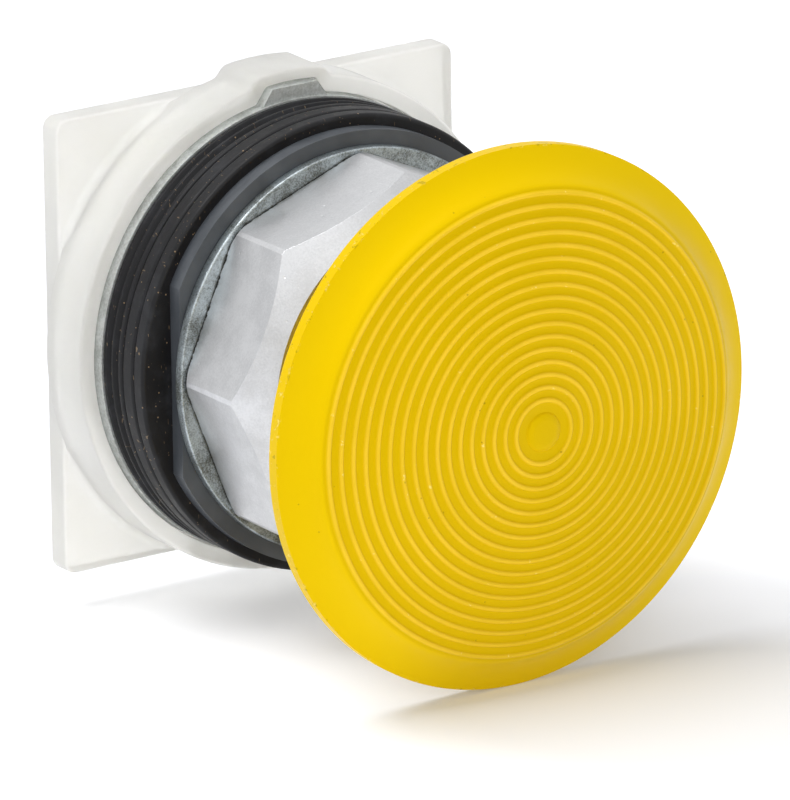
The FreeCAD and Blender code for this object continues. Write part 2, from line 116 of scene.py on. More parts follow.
# ---- Finishes ----
class Graph:
    """Builds one material's nodes, all on Object coordinates."""

    def __init__(self, name: str) -> None:
        """Start a material with its shader and a coordinate node.

        Args:
            name: Name of the material.
        """
        self.material = bpy.data.materials.new(name)
        self.material.use_nodes = True
        self.tree = self.material.node_tree
        self.shader = self.tree.nodes["Principled BSDF"]
        self.place = self.tree.nodes.new("ShaderNodeTexCoord").outputs["Object"]

    def node(self, kind: str) -> bpy.types.Node:
        """Add a shader node of a kind."""
        return self.tree.nodes.new("ShaderNode" + kind)

    def constants(self, **values: float | Sequence[float]) -> None:
        """Set shader sockets that are the same all over, by name with _ for a space."""
        for name, value in values.items():
            self.shader.inputs[name.replace("_", " ")].default_value = value

    def drive(self, name: str, source: Socket) -> None:
        """Link a source to one of the shader's sockets."""
        self.tree.links.new(source, self.shader.inputs[name])

    def stretched(self, scale: Sequence[float]) -> Socket:
        """Object coordinates scaled by axis.

        Args:
            scale: Factor along X, Y and Z.

        Returns:
            The scaled coordinates.
        """
        node = self.node("Mapping")
        node.inputs["Scale"].default_value = scale
        self.tree.links.new(self.place, node.inputs["Vector"])
        return node.outputs["Vector"]

    def noise(self, size: float, detail: float = 3.0, rough: float = 0.5,
              place: Socket | None = None) -> Socket:
        """Soft noise.

        Args:
            size: Width of the largest blobs, in metres.
            detail: Octaves.
            rough: Weight of the finer octaves.
            place: Coordinates, or None for the plain ones.

        Returns:
            A value around 0.5.
        """
        node = self.node("TexNoise")
        node.inputs["Scale"].default_value = 1.0 / size
        node.inputs["Detail"].default_value = detail
        node.inputs["Roughness"].default_value = rough
        self.tree.links.new(place or self.place, node.inputs["Vector"])
        return node.outputs["Fac"]

    def cells(self, size: float, place: Socket | None = None, output: str = "Distance") -> Socket:
        """Cell pattern.

        Args:
            size: Width of a cell, in metres.
            place: Coordinates, or None for the plain ones.
            output: Which output to take.

        Returns:
            The chosen output.
        """
        node = self.node("TexVoronoi")
        node.inputs["Scale"].default_value = 1.0 / size
        self.tree.links.new(place or self.place, node.inputs["Vector"])
        return node.outputs[output]

    def maths(self, operation: str, first: Socket | float, second: Socket | float = 0.0) -> Socket:
        """One arithmetic step.

        Args:
            operation: Name of the operation.
            first: First value.
            second: Second value.

        Returns:
            The result.
        """
        node = self.node("Math")
        node.operation = operation
        for slot_index, value in enumerate((first, second)):
            if isinstance(value, (int, float)):
                node.inputs[slot_index].default_value = value
            else:
                self.tree.links.new(value, node.inputs[slot_index])
        return node.outputs["Value"]

    def times(self, first: Socket | float, second: Socket | float) -> Socket:
        """The product of two values."""
        return self.maths("MULTIPLY", first, second)

    def plus(self, first: Socket | float, second: Socket | float) -> Socket:
        """The sum of two values."""
        return self.maths("ADD", first, second)

    def minus(self, first: Socket | float, second: Socket | float) -> Socket:
        """The first value less the second."""
        return self.maths("SUBTRACT", first, second)

    def between(self, source: Socket, low: float, high: float,
                start: float = 0.0, end: float = 1.0) -> Socket:
        """Map a value smoothly from low..high to start..end.

        Args:
            source: Value to map.
            low: Where the change begins.
            high: Where it ends.
            start: Result at low and before.
            end: Result at high and after.

        Returns:
            The mapped value.
        """
        node = self.node("MapRange")
        node.interpolation_type = "SMOOTHSTEP"
        self.tree.links.new(source, node.inputs["Value"])
        for name, value in (("From Min", low), ("From Max", high), ("To Min", start), ("To Max", end)):
            node.inputs[name].default_value = value
        return node.outputs["Result"]

    def blend(self, share: Socket, first: Socket | Colour, second: Socket | Colour) -> Socket:
        """Mix two colours.

        Args:
            share: 0 for the first, 1 for the second.
            first: First colour.
            second: Second colour.

        Returns:
            The mixed colour.
        """
        node = self.node("Mix")
        node.data_type = "RGBA"
        self.tree.links.new(share, node.inputs[0])
        for slot_index, value in ((6, first), (7, second)):
            if isinstance(value, tuple):
                node.inputs[slot_index].default_value = (*value, 1.0)
            else:
                self.tree.links.new(value, node.inputs[slot_index])
        return node.outputs[2]

    def axis_parts(self) -> tuple[Socket, Socket, Socket]:
        """Split the coordinates.

        Returns:
            X, Y and Z, one output each.
        """
        node = self.node("SeparateXYZ")
        self.tree.links.new(self.place, node.inputs["Vector"])
        return node.outputs["X"], node.outputs["Y"], node.outputs["Z"]

    def radius(self) -> Socket:
        """Measure the distance from the button's axis.

        Returns:
            The distance, in metres.
        """
        across, _, up = self.axis_parts()
        squares = self.plus(self.times(across, across), self.times(up, up))
        return self.maths("SQRT", squares)

    def relief(self, height: Socket, depth: float, under: Socket | None = None) -> Socket:
        """Bump from a height of 0 to 1.

        Args:
            height: Height map.
            depth: Real depth of the relief, in metres.
            under: Normal to build on, or None.

        Returns:
            The bumped normal.
        """
        node = self.node("Bump")
        node.inputs["Strength"].default_value = 1.0
        node.inputs["Distance"].default_value = depth
        self.tree.links.new(height, node.inputs["Height"])
        if under is not None:
            self.tree.links.new(under, node.inputs["Normal"])
        return node.outputs["Normal"]


@dataclass(frozen=True)
class YellowGloss:
    """Moulded yellow plastic, paler on its ridges from wear and a painted highlight, with painted
    glints on them, and nicked along its rim.
    """

    name: str = "yellow_gloss"
    colour: Colour = srgb(230, 193, 2)
    deep: Colour = srgb(220, 183, 0)
    crest_wear_and_sheen: Colour = srgb(241, 200, 50)
    scuff_and_glint: Colour = srgb(252, 230, 130)
    dirt: Colour = srgb(128, 112, 22)
    crest_in: float = 0.10 * MM
    crest_out: float = 0.29 * MM
    line_gap: float = 0.19 * MM
    face_r: float = 22.3 * MM
    face_y: float = -33.4 * MM
    sphere: float = 95.1 * MM
    face_fade: float = 0.25 * MM
    depth_from: float = 0.8 * MM
    depth_to: float = 1.4 * MM
    rim_start: float = 25.58 * MM
    rim_end: float = 25.76 * MM

    def build(self) -> Material:
        """Make the material.

        Returns:
            The finished material.
        """
        g = Graph(self.name)
        radius = g.radius()
        cloud = g.between(g.noise(9.0 * MM, 2.0), 0.35, 0.65, -0.06, 0.06)
        sag = g.maths("DIVIDE", g.times(radius, radius), 2.0 * self.sphere)
        depth = g.minus(g.minus(g.axis_parts()[1], sag), self.face_y)
        on_face = g.times(g.between(radius, self.face_r, self.face_r + self.face_fade, 1.0, 0.0),
                          g.between(depth, self.depth_from, self.depth_to, 1.0, 0.0))
        lines = g.maths("SINE", g.times(radius, FULL_TURN / self.line_gap))
        lines = g.times(lines, g.between(g.noise(3.0 * MM, 2.0), 0.35, 0.65, 0.0, 0.14))
        shade = g.plus(on_face, g.plus(cloud, g.times(lines, on_face)))
        base = g.blend(shade, self.colour, self.deep)
        # Paler ridge crests: partly wear, partly a painted highlight.
        turns = g.maths("DIVIDE", g.minus(radius, FIRST_RIDGE), RIDGE_PITCH)
        off = g.maths("ABSOLUTE", g.minus(g.maths("FRACT", g.plus(turns, 20.5)), 0.5))
        crest_wear_and_sheen = g.between(g.times(off, RIDGE_PITCH), self.crest_in, self.crest_out, 1.0, 0.0)
        crest_wear_and_sheen = g.times(g.times(crest_wear_and_sheen, on_face),
                        g.between(radius, FIRST_RIDGE - 0.6 * MM, FIRST_RIDGE - 0.4 * MM))
        worn = g.between(g.noise(5.0 * MM, 3.0, 0.6), 0.3, 0.7, 0.65, 1.0)
        base = g.blend(g.times(crest_wear_and_sheen, worn), base, self.crest_wear_and_sheen)
        # Painted glints: pale highlight specks on the crests, in the same colour as the rim scuffs.
        glints = g.times(crest_wear_and_sheen, g.between(g.noise(0.7 * MM, 3.0, 0.6), 0.67, 0.74))
        base = g.blend(g.times(glints, 0.7), base, self.scuff_and_glint)
        rim = g.between(radius, self.rim_start, self.rim_end)
        nicks = g.times(rim, g.between(g.noise(0.7 * MM, 4.0, 0.7), 0.59, 0.65))
        base = g.blend(g.times(nicks, 0.55), base, self.scuff_and_glint)
        chips = g.times(rim, g.between(g.noise(1.1 * MM, 3.0, 0.7), 0.34, 0.38, 1.0, 0.0))
        base = g.blend(g.times(chips, 0.45), base, self.dirt)
        specks = g.between(g.cells(1.7 * MM), 0.045, 0.07, 1.0, 0.0)
        sparse = g.between(g.noise(4.0 * MM, 1.0), 0.50, 0.56)
        pits = g.times(specks, sparse)
        base = g.blend(g.times(pits, 0.4), base, self.dirt)
        g.drive("Base Color", base)
        smears = g.noise(4.0 * MM, 4.0, 0.6)
        g.drive("Roughness", g.between(smears, 0.3, 0.7, 0.34, 0.50))
        skin = g.relief(g.noise(0.45 * MM, 3.0, 0.6), 0.008 * MM)
        marks = g.maths("MAXIMUM", nicks, pits)
        g.drive("Normal", g.relief(g.minus(1.0, marks), 0.03 * MM, skin))
        g.constants(IOR=1.45, Subsurface_Weight=0.04, Subsurface_Scale=0.4 * MM,
                    Subsurface_Radius=(1.0, 0.6, 0.1), Specular_IOR_Level=0.17,
                    Specular_Tint=(1.0, 0.82, 0.12, 1.0))
        return g.material


@dataclass(frozen=True)
class GrainedMetal:
    """Plated or cast metal with a fine grain, dull patches and small pits."""

    name: str
    colour: Colour
    dull: Colour
    shine: float
    matt: float
    grain: float
    grain_depth: float
    pit_depth: float = 0.0
    metallic: float = 1.0
    seat_shade_from: float = 0.0
    seat_shade_full: float = 0.0
    seat_contact_shade: Colour = srgb(52, 50, 46)

    def build(self) -> Material:
        """Make the material, with a painted contact shadow along its seat where that is asked for.

        Returns:
            The finished material.
        """
        g = Graph(self.name)
        patches = g.noise(3.5 * MM, 4.0, 0.6)
        grain = g.noise(self.grain, 3.0, 0.6)
        mottle = g.between(g.plus(g.times(patches, 0.6), g.times(grain, 0.4)), 0.36, 0.64)
        base = g.blend(mottle, self.dull, self.colour)
        # A dark band along the seat, where the nut meets the washer: painted contact shadow.
        if self.seat_shade_full:
            ragged = g.times(g.between(g.noise(0.8 * MM, 4.0, 0.7), 0.3, 0.7, -1.0, 1.0),
                             0.7 * abs(self.seat_shade_full - self.seat_shade_from))
            seat = g.between(g.plus(g.axis_parts()[1], ragged), self.seat_shade_from, self.seat_shade_full)
            base = g.blend(seat, base, self.seat_contact_shade)
        g.drive("Base Color", base)
        g.drive("Roughness", g.between(patches, 0.3, 0.7, self.matt, self.shine))
        normal = g.relief(grain, self.grain_depth)
        if self.pit_depth:
            pits = g.between(g.cells(0.9 * MM), 0.08, 0.16)
            few = g.between(g.noise(3.0 * MM, 2.0), 0.50, 0.60, 1.0, 0.0)
            normal = g.relief(g.maths("MAXIMUM", pits, few), self.pit_depth, normal)
        g.drive("Normal", normal)
        g.constants(Metallic=self.metallic)
        return g.material


@dataclass(frozen=True)
class TurnedMetal:
    """Metal with fine rings left by turning about the button's axis."""

    name: str
    colour: Colour
    dull: Colour
    ring_gap: float = 0.12 * MM

    def build(self) -> Material:
        """Make the material.

        Returns:
            The finished material.
        """
        g = Graph(self.name)
        _, along, _ = g.axis_parts()
        sweep = g.plus(g.radius(), along)
        rings = g.maths("SINE", g.times(sweep, FULL_TURN / self.ring_gap))
        stain = g.noise(2.5 * MM, 3.0, 0.6)
        g.drive("Base Color", g.blend(g.between(stain, 0.35, 0.7), self.colour, self.dull))
        g.drive("Roughness", g.between(stain, 0.3, 0.7, 0.24, 0.42))
        g.drive("Normal", g.relief(g.between(rings, -1.0, 1.0), 0.004 * MM))
        g.constants(Metallic=1.0)
        return g.material


@dataclass(frozen=True)
class BlackRubber:
    """Moulded rubber with a faint bloom and stray dust."""

    name: str = "black_rubber"
    colour: Colour = srgb(23, 23, 25)
    bloom: Colour = srgb(44, 45, 48)
    dust: Colour = srgb(150, 128, 100)

    def build(self) -> Material:
        """Make the material.

        Returns:
            The finished material.
        """
        g = Graph(self.name)
        haze = g.noise(4.0 * MM, 4.0, 0.65)
        base = g.blend(g.between(haze, 0.45, 0.75), self.colour, self.bloom)
        motes = g.between(g.cells(0.9 * MM), 0.06, 0.11, 1.0, 0.0)
        some = g.between(g.noise(2.2 * MM, 1.0), 0.46, 0.53)
        flecks = g.times(g.between(g.cells(0.45 * MM), 0.07, 0.12, 1.0, 0.0),
                         g.between(g.noise(1.3 * MM, 2.0), 0.52, 0.60))
        lint = g.between(g.noise(0.9 * MM, 1.0, 0.5, g.stretched((6.0, 1.0, 1.0))), 0.72, 0.75)
        base = g.blend(g.times(motes, some), base, self.dust)
        base = g.blend(g.times(g.maths("MAXIMUM", flecks, lint), 0.5), base, self.dust)
        g.drive("Base Color", base)
        g.drive("Roughness", g.between(haze, 0.3, 0.7, 0.42, 0.62))
        grain = g.relief(g.noise(0.25 * MM, 3.0, 0.6), 0.012 * MM)
        g.drive("Normal", g.relief(g.times(motes, some), 0.05 * MM, grain))
        g.constants(Specular_IOR_Level=0.2)
        return g.material


@dataclass(frozen=True)
class MouldedPlastic:
    """Opaque or lightly translucent moulded plastic with a fine matt skin."""

    name: str
    colour: Colour
    worn: Colour
    gloss: float = 0.38
    matt: float = 0.55
    glow: float = 0.0

    def build(self) -> Material:
        """Make the material.

        Returns:
            The finished material.
        """
        g = Graph(self.name)
        flow = g.noise(6.0 * MM, 3.0, 0.55, g.stretched((1.0, 2.5, 1.0)))
        g.drive("Base Color", g.blend(g.between(flow, 0.4, 0.75), self.colour, self.worn))
        g.drive("Roughness", g.between(flow, 0.3, 0.7, self.gloss, self.matt))
        g.drive("Normal", g.relief(g.noise(0.3 * MM, 2.0), 0.006 * MM))
        g.constants(Subsurface_Weight=self.glow, Subsurface_Scale=1.2 * MM,
                    Subsurface_Radius=(0.9, 1.0, 1.0))
        return g.material


@dataclass(frozen=True)
class MilkyPlastic:
    """Translucent white polyethylene that lets soft light through."""

    name: str = "milky_plastic"
    colour: Colour = srgb(254, 253, 248)
    shade: Colour = srgb(247, 246, 241)

    def build(self) -> Material:
        """Make the material.

        Returns:
            The finished material.
        """
        g = Graph(self.name)
        cloud = g.noise(7.0 * MM, 3.0, 0.5)
        g.drive("Base Color", g.blend(g.between(cloud, 0.35, 0.7), self.colour, self.shade))
        g.drive("Roughness", g.between(cloud, 0.3, 0.7, 0.30, 0.42))
        g.drive("Normal", g.relief(g.noise(0.8 * MM, 2.0), 0.02 * MM))
        g.constants(IOR=1.38, Transmission_Weight=0.55, Subsurface_Weight=0.5,
                    Subsurface_Scale=2.0 * MM, Subsurface_Radius=(1.0, 1.0, 0.95),
                    Specular_IOR_Level=0.4)
        return g.material


class Finish(Enum):
    """Every finish on the button."""

    HEAD = YellowGloss()
    # The nut's last two values bound a painted contact shadow along its rear edge.
    NUT = GrainedMetal("satin_chrome", srgb(207, 208, 210), srgb(190, 191, 193), 0.33, 0.43,
                       0.20 * MM, 0.012 * MM, 0.02 * MM, 1.0, -3.02 * MM, -2.84 * MM)
    THRUST = GrainedMetal("blue_zinc", srgb(184, 194, 199), srgb(92, 94, 89), 0.38, 0.54,
                          0.15 * MM, 0.022 * MM, 0.04 * MM)
    CASTING = GrainedMetal("cast_zinc", srgb(210, 214, 213), srgb(168, 171, 168), 0.42, 0.58,
                           0.26 * MM, 0.030 * MM, 0.04 * MM, 0.6)
    STEEL = TurnedMetal("plated_steel", srgb(196, 198, 200), srgb(160, 161, 160))
    SPRING = GrainedMetal("spring_wire", srgb(150, 150, 152), srgb(104, 103, 102), 0.28, 0.42,
                          0.3 * MM, 0.006 * MM)
    BRASS = TurnedMetal("brass", srgb(214, 180, 106), srgb(176, 138, 74))
    BRONZE = TurnedMetal("bronze", srgb(192, 148, 96), srgb(140, 104, 66))
    RUBBER = BlackRubber()
    TRIM = MouldedPlastic("slate_plastic", srgb(66, 70, 75), srgb(82, 86, 91), 0.32, 0.48, 0.1)
    CAP = MilkyPlastic()
    ACETAL = MouldedPlastic("black_acetal", srgb(32, 33, 35), srgb(46, 47, 49), 0.32, 0.5)
    NYLON = MouldedPlastic("natural_nylon", srgb(226, 222, 208), srgb(208, 203, 188), 0.36, 0.52, 0.3)


class Paintbox:
    """Makes each finish once and hands it out."""

    def __init__(self) -> None:
        """Start with nothing mixed."""
        self.mixed: dict[Finish, Material] = {}

    def get(self, finish: Finish) -> Material:
        """Hand out a finish, made at first use.

        Args:
            finish: The finish that is wanted.

        Returns:
            Its material.
        """
        if finish not in self.mixed:
            self.mixed[finish] = finish.value.build()
        return self.mixed[finish]


# ---- Modelling helpers ----
def softened(corners: Sequence[Corner], steps: int = 3) -> list[Point]:
    """Round the corners of a closed outline with arcs.

    Args:
        corners: (radius, y, rounding) of each corner, in order.
        steps: Segments in each rounding.

    Returns:
        The outline's points.
    """
    points: list[Point] = []
    count = len(corners)
    for index, (radius, along, rounding) in enumerate(corners):
        here = Vector((radius, along))
        if rounding <= 0.0:
            points.append((radius, along))
            continue
        before = Vector(corners[index - 1][:2]) - here
        after = Vector(corners[(index + 1) % count][:2]) - here
        half = before.angle(after) / 2.0
        reach = min(rounding / math.tan(half), before.length * REACH_LIMIT, after.length * REACH_LIMIT)
        bow = reach * math.tan(half)
        centre = here + (before.normalized() + after.normalized()).normalized() * (bow / math.sin(half))
        start = here + before.normalized() * reach - centre
        end = here + after.normalized() * reach - centre
        swing = start.angle_signed(end)
        for step in range(steps + 1):
            point = centre + Matrix.Rotation(-swing * step / steps, 2) @ start
            points.append((point.x, point.y))
    return points


def lathe(points: Sequence[Point], steps: int = 160) -> BMesh:
    """Turn a closed outline about the button's axis.

    Args:
        points: (radius, y) points of the outline.
        steps: Segments around the axis.

    Returns:
        The closed mesh.
    """
    bm = bmesh.new()
    verts = [bm.verts.new((radius, along, 0.0)) for radius, along in points]
    edges = [bm.edges.new((first, second)) for first, second in zip(verts, verts[1:] + verts[:1])]
    bmesh.ops.spin(bm, geom=verts + edges, cent=ORIGIN, axis=AXIS, angle=FULL_TURN, steps=steps,
                   use_merge=True)
    bmesh.ops.remove_doubles(bm, verts=bm.verts[:], dist=WELD)
    bmesh.ops.dissolve_degenerate(bm, edges=bm.edges[:], dist=WELD)
    bmesh.ops.recalc_face_normals(bm, faces=bm.faces[:])
    return bm


def slice_off(bm: BMesh, point: Vector, outward: Vector) -> None:
    """Cut away what lies beyond a plane and close the cut.

    Args:
        bm: Mesh to cut.
        point: A point on the plane.
        outward: The plane's normal, towards what goes.
    """
    cut = bmesh.ops.bisect_plane(bm, geom=bm.verts[:] + bm.edges[:] + bm.faces[:], dist=WELD,
                                 plane_co=point, plane_no=outward, clear_outer=True)
    rim = [edge for edge in cut["geom_cut"]
           if isinstance(edge, bmesh.types.BMEdge) and edge.is_boundary]
    bmesh.ops.edgeloop_fill(bm, edges=rim)


def break_edges(bm: BMesh, width: float, over: float, segments: int = 2) -> None:
    """Bevel every edge that is sharper than an angle.

    Args:
        bm: Mesh to soften.
        width: Bevel width.
        over: Angle, in degrees, above which an edge is bevelled.
        segments: Segments in the bevel.
    """
    limit = math.radians(over)
    sharp = [edge for edge in bm.edges
             if len(edge.link_faces) == 2 and edge.calc_face_angle(0.0) > limit]
    bmesh.ops.bevel(bm, geom=sharp, offset=width, offset_type="OFFSET", segments=segments,
                    profile=0.5, affect="EDGES", clamp_overlap=True, material=-1)


def show(thing: bpy.types.Object) -> None:
    """Link an object into the scene."""
    bpy.context.scene.collection.objects.link(thing)


class Builder:
    """Base of every sub-assembly: places finished meshes and dresses fixed nodes."""

    def __init__(self, paints: Paintbox) -> None:
        """Keep the shared finishes."""
        self.paints = paints

    def place(self, name: str, bm: BMesh, body: str, finish: Finish, slot: str,
              nodes: Iterable[str]) -> bpy.types.Object:
        """Turn a mesh into a piece that rides on a body and stands for its nodes.

        Args:
            name: Name of the piece.
            bm: Its mesh, which is freed.
            body: Body that it rides on.
            finish: Its finish.
            slot: Not used.
            nodes: Fixed nodes that it stands for.

        Returns:
            The new object.
        """
        mesh = bpy.data.meshes.new(name)
        bm.to_mesh(mesh)
        bm.free()
        for face in mesh.polygons:
            face.use_smooth = True
        mesh.set_sharp_from_angle(angle=SMOOTH_UNDER)
        mesh.materials.append(self.paints.get(finish))
        piece = bpy.data.objects.new(name, mesh)
        show(piece)
        even = piece.modifiers.new("even_normals", "WEIGHTED_NORMAL")
        even.keep_sharp = True
        even.weight = NORMAL_WEIGHT
        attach(piece, body)
        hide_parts(*nodes)
        LOG.info("%s: %d faces on %s", name, len(mesh.polygons), body)
        return piece

    def dress(self, finishes: dict[str, Finish]) -> None:
        """Give fixed nodes their finishes.

        Args:
            finishes: Finish of each node, by node name.
        """
        for name, finish in finishes.items():
            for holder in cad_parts[name].material_slots:
                holder.material = self.paints.get(finish)
            LOG.info("%s: dressed in %s", name, finish.value.name)


# ---- Head ----
@dataclass
class HeadSizes:
    """Sizes of the mushroom head."""

    rim_w: float = 1.4 * MM
    rim_round: float = 0.3 * MM
    bevel_w: float = 3.3 * MM
    bevel_crown: float = 0.41 * MM
    dome_h: float = 2.7 * MM
    dome_above_rim: float = 5.9 * MM
    wall: float = 2.6 * MM
    lip: float = 2.2 * MM
    lip_slope: float = 1.0 * MM
    hub_r: float = 7.5 * MM
    disc_r: float = 1.75 * MM
    disc_h: float = 0.25 * MM
    disc_edge: float = 0.12 * MM
    disc_flat: float = 0.6
    bevel_lead: float = 0.14 * MM
    bevel_steps: int = 12
    back_steps: int = 12
    lip_round: float = 0.35 * MM
    recess_round: float = 0.8 * MM
    hub_foot: float = 0.6 * MM
    hub_round: float = 0.25 * MM
    bore_r: float = 4.2 * MM
    bore_depth: float = 7.4 * MM
    bore_round: float = 0.1 * MM
    ridge_w: float = 0.56 * MM
    ridge_h: float = 0.24 * MM
    steps: int = 224


class Head(Builder):
    """Mushroom head with its hub and what fastens it."""

    def __init__(self, paints: Paintbox) -> None:
        """Read the head's place from the frame.

        Args:
            paints: The shared finishes.
        """
        super().__init__(paints)
        self.s = HeadSizes()
        low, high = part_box("mushroom_head")
        self.rim_r = high.x
        self.hub_end = high.y
        self.top = low.y + self.s.disc_h
        self.rim_y = self.top + self.s.dome_above_rim
        self.dome_r = self.rim_r - self.s.bevel_w

    def face(self, radius: float) -> float:
        """Y of the smooth dome at a radius."""
        sphere = (self.dome_r ** 2 + self.s.dome_h ** 2) / (2.0 * self.s.dome_h)
        return self.top + sphere - math.sqrt(sphere ** 2 - radius ** 2)

    def ridge(self, middle: float) -> list[Point]:
        """Points across one round ridge, with soft feet.

        Args:
            middle: Radius of its crest.

        Returns:
            The points, from the inside out.
        """
        half = self.s.ridge_w / 2.0
        return [(middle + half * across, self.face(middle + half * across) - self.s.ridge_h * up)
                for across, up in RIDGE_SHAPE]

    def outline(self) -> list[Point]:
        """Draw the section of the whole head, from the axis out, round the rim and along the hub.

        Returns:
            The closed outline's points.
        """
        s = self.s
        foot = self.face(s.disc_r)
        points = [
            (0.0, self.top - s.disc_h), (s.disc_r * s.disc_flat, self.top - s.disc_h),
            (s.disc_r - s.disc_edge, foot - s.disc_h * 0.85),
            (s.disc_r, foot - s.disc_h * 0.5), (s.disc_r + s.disc_edge, foot),
        ]
        count = int((self.dome_r - s.ridge_w / 2.0 - FIRST_RIDGE) / RIDGE_PITCH) + 1
        for index in range(count):
            points += self.ridge(FIRST_RIDGE + RIDGE_PITCH * index)
        points += self.bevel()
        half_rim = s.rim_w / 2.0
        back = [(self.rim_r, self.rim_y + half_rim, s.rim_round)]
        recess = self.rim_r - s.lip - s.lip_slope
        back += [(self.rim_r - s.lip, self.rim_y + half_rim, s.lip_round)]
        back += [(recess, self.face(recess) + s.wall, s.recess_round)]
        for step in range(1, s.back_steps):
            radius = recess + (s.hub_r - recess) * step / s.back_steps
            back.append((radius, self.face(radius) + s.wall, 0.0))
        back += [(s.hub_r, self.face(s.hub_r) + s.wall, s.hub_foot)]
        back += [(s.hub_r, self.hub_end, s.hub_round)]
        bore_front = self.hub_end - s.bore_depth
        back += [(s.bore_r, self.hub_end, s.bore_round), (s.bore_r, bore_front, 0.0)]
        back += [(0.0, bore_front, 0.0)]
        lead = [(self.rim_r, self.rim_y - half_rim, 0.0)]
        tail = softened(lead + back, 4)
        return points + tail[1:]

    def bevel(self) -> list[Point]:
        """Draw the crowned bevel, with a softened top edge.

        Returns:
            Its points, from the dome's edge to the rim.
        """
        s = self.s
        start = Vector((self.dome_r, self.face(self.dome_r)))
        end = Vector((self.rim_r, self.rim_y - s.rim_w / 2.0))
        run = end - start
        out = Vector((-run.y, run.x)).normalized() * -1.0
        points = [(self.dome_r - s.bevel_lead, self.face(self.dome_r - s.bevel_lead))]
        for step in range(1, s.bevel_steps + 1):
            share = step / s.bevel_steps
            lift = 4.0 * share * (1.0 - share) * s.bevel_crown
            point = start + run * share + out * -lift
            points.append((point.x, point.y))
        return points

    def build(self) -> None:
        """Make the head and dress what lies in its hub."""
        bm = lathe(self.outline(), self.s.steps)
        self.place("head_moulding", bm, "plunger", Finish.HEAD, "yellow_head", ["mushroom_head"])
        self.dress({"head_insert": Finish.BRASS, "head_lock_washer": Finish.STEEL})


# ---- Plunger ----
@dataclass
class SpringSizes:
    """Sizes of the return spring that the frame's box doesn't give."""

    wire_r: float = 0.5 * MM
    turns: float = 6.5
    travel: float = 5.5 * MM
    sides: int = 14
    steps: int = 312


class Plunger(Builder):
    """Sliding guide, stem, spring and foot."""

    def spring(self) -> None:
        """Sweep the spring's wire along its coil."""
        s = SpringSizes()
        low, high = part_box("return_spring")
        length = high.y - low.y
        bm = bmesh.new()
        wire = bmesh.ops.create_circle(bm, radius=s.wire_r, segments=s.sides)["verts"]
        bmesh.ops.translate(bm, verts=wire, vec=(high.x - s.wire_r, low.y + s.wire_r, 0.0))
        bmesh.ops.spin(bm, geom=bm.verts[:] + bm.edges[:], cent=ORIGIN, axis=AXIS,
                       angle=FULL_TURN * s.turns, steps=s.steps,
                       dvec=(0.0, (length - 2.0 * s.wire_r) / s.steps, 0.0))
        bmesh.ops.holes_fill(bm, edges=[edge for edge in bm.edges if edge.is_boundary], sides=0)
        bmesh.ops.recalc_face_normals(bm, faces=bm.faces[:])
        coil = self.place("spring_coil", bm, "operator", Finish.SPRING, "spring_steel",
                          ["return_spring"])
        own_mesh(coil)

    def build(self) -> None:
        """Make the spring and dress the moving pieces."""
        self.spring()
        self.dress({
            "plunger_guide": Finish.ACETAL, "plunger_o_ring": Finish.RUBBER,
            "plunger_stem": Finish.STEEL, "spring_seat_front": Finish.STEEL,
            "spring_seat_rear": Finish.STEEL, "stem_bumper": Finish.RUBBER,
            "stop_washer": Finish.STEEL, "retaining_clip": Finish.SPRING,
            "actuator_foot": Finish.NYLON, "foot_screw": Finish.STEEL,
        })


# ---- Clamp ----
@dataclass
class ClampSizes:
    """Sizes of the nut, washers and gaskets."""

    barrel_r: float = 15.0 * MM
    nut_sides: int = 8
    nut_flat_r: float = 17.9 * MM
    nut_turn: float = -1.5
    nut_corner_round: float = 0.10 * MM
    nut_front_w: float = 1.3 * MM
    cone_angle: float = 44.0
    bore_play: float = 0.08 * MM
    nut_edge: float = 0.36 * MM
    gasket_edge: float = 0.4 * MM
    groove_w: float = 0.45 * MM
    groove_depth: float = 0.4 * MM
    groove_floor: float = 0.4
    groove_lip: float = 0.12 * MM
    groove_foot: float = 0.05 * MM
    nut_mouth: float = 0.4 * MM
    nut_mouth_round: float = 0.08 * MM
    nut_front_round: float = 0.12 * MM
    nut_rear: float = 0.5 * MM
    nut_rear_round: float = 0.1 * MM
    nut_steps: int = 192
    bevel_over: float = 14.0
    washer_round: float = 0.18 * MM
    washer_bore_round: float = 0.05 * MM


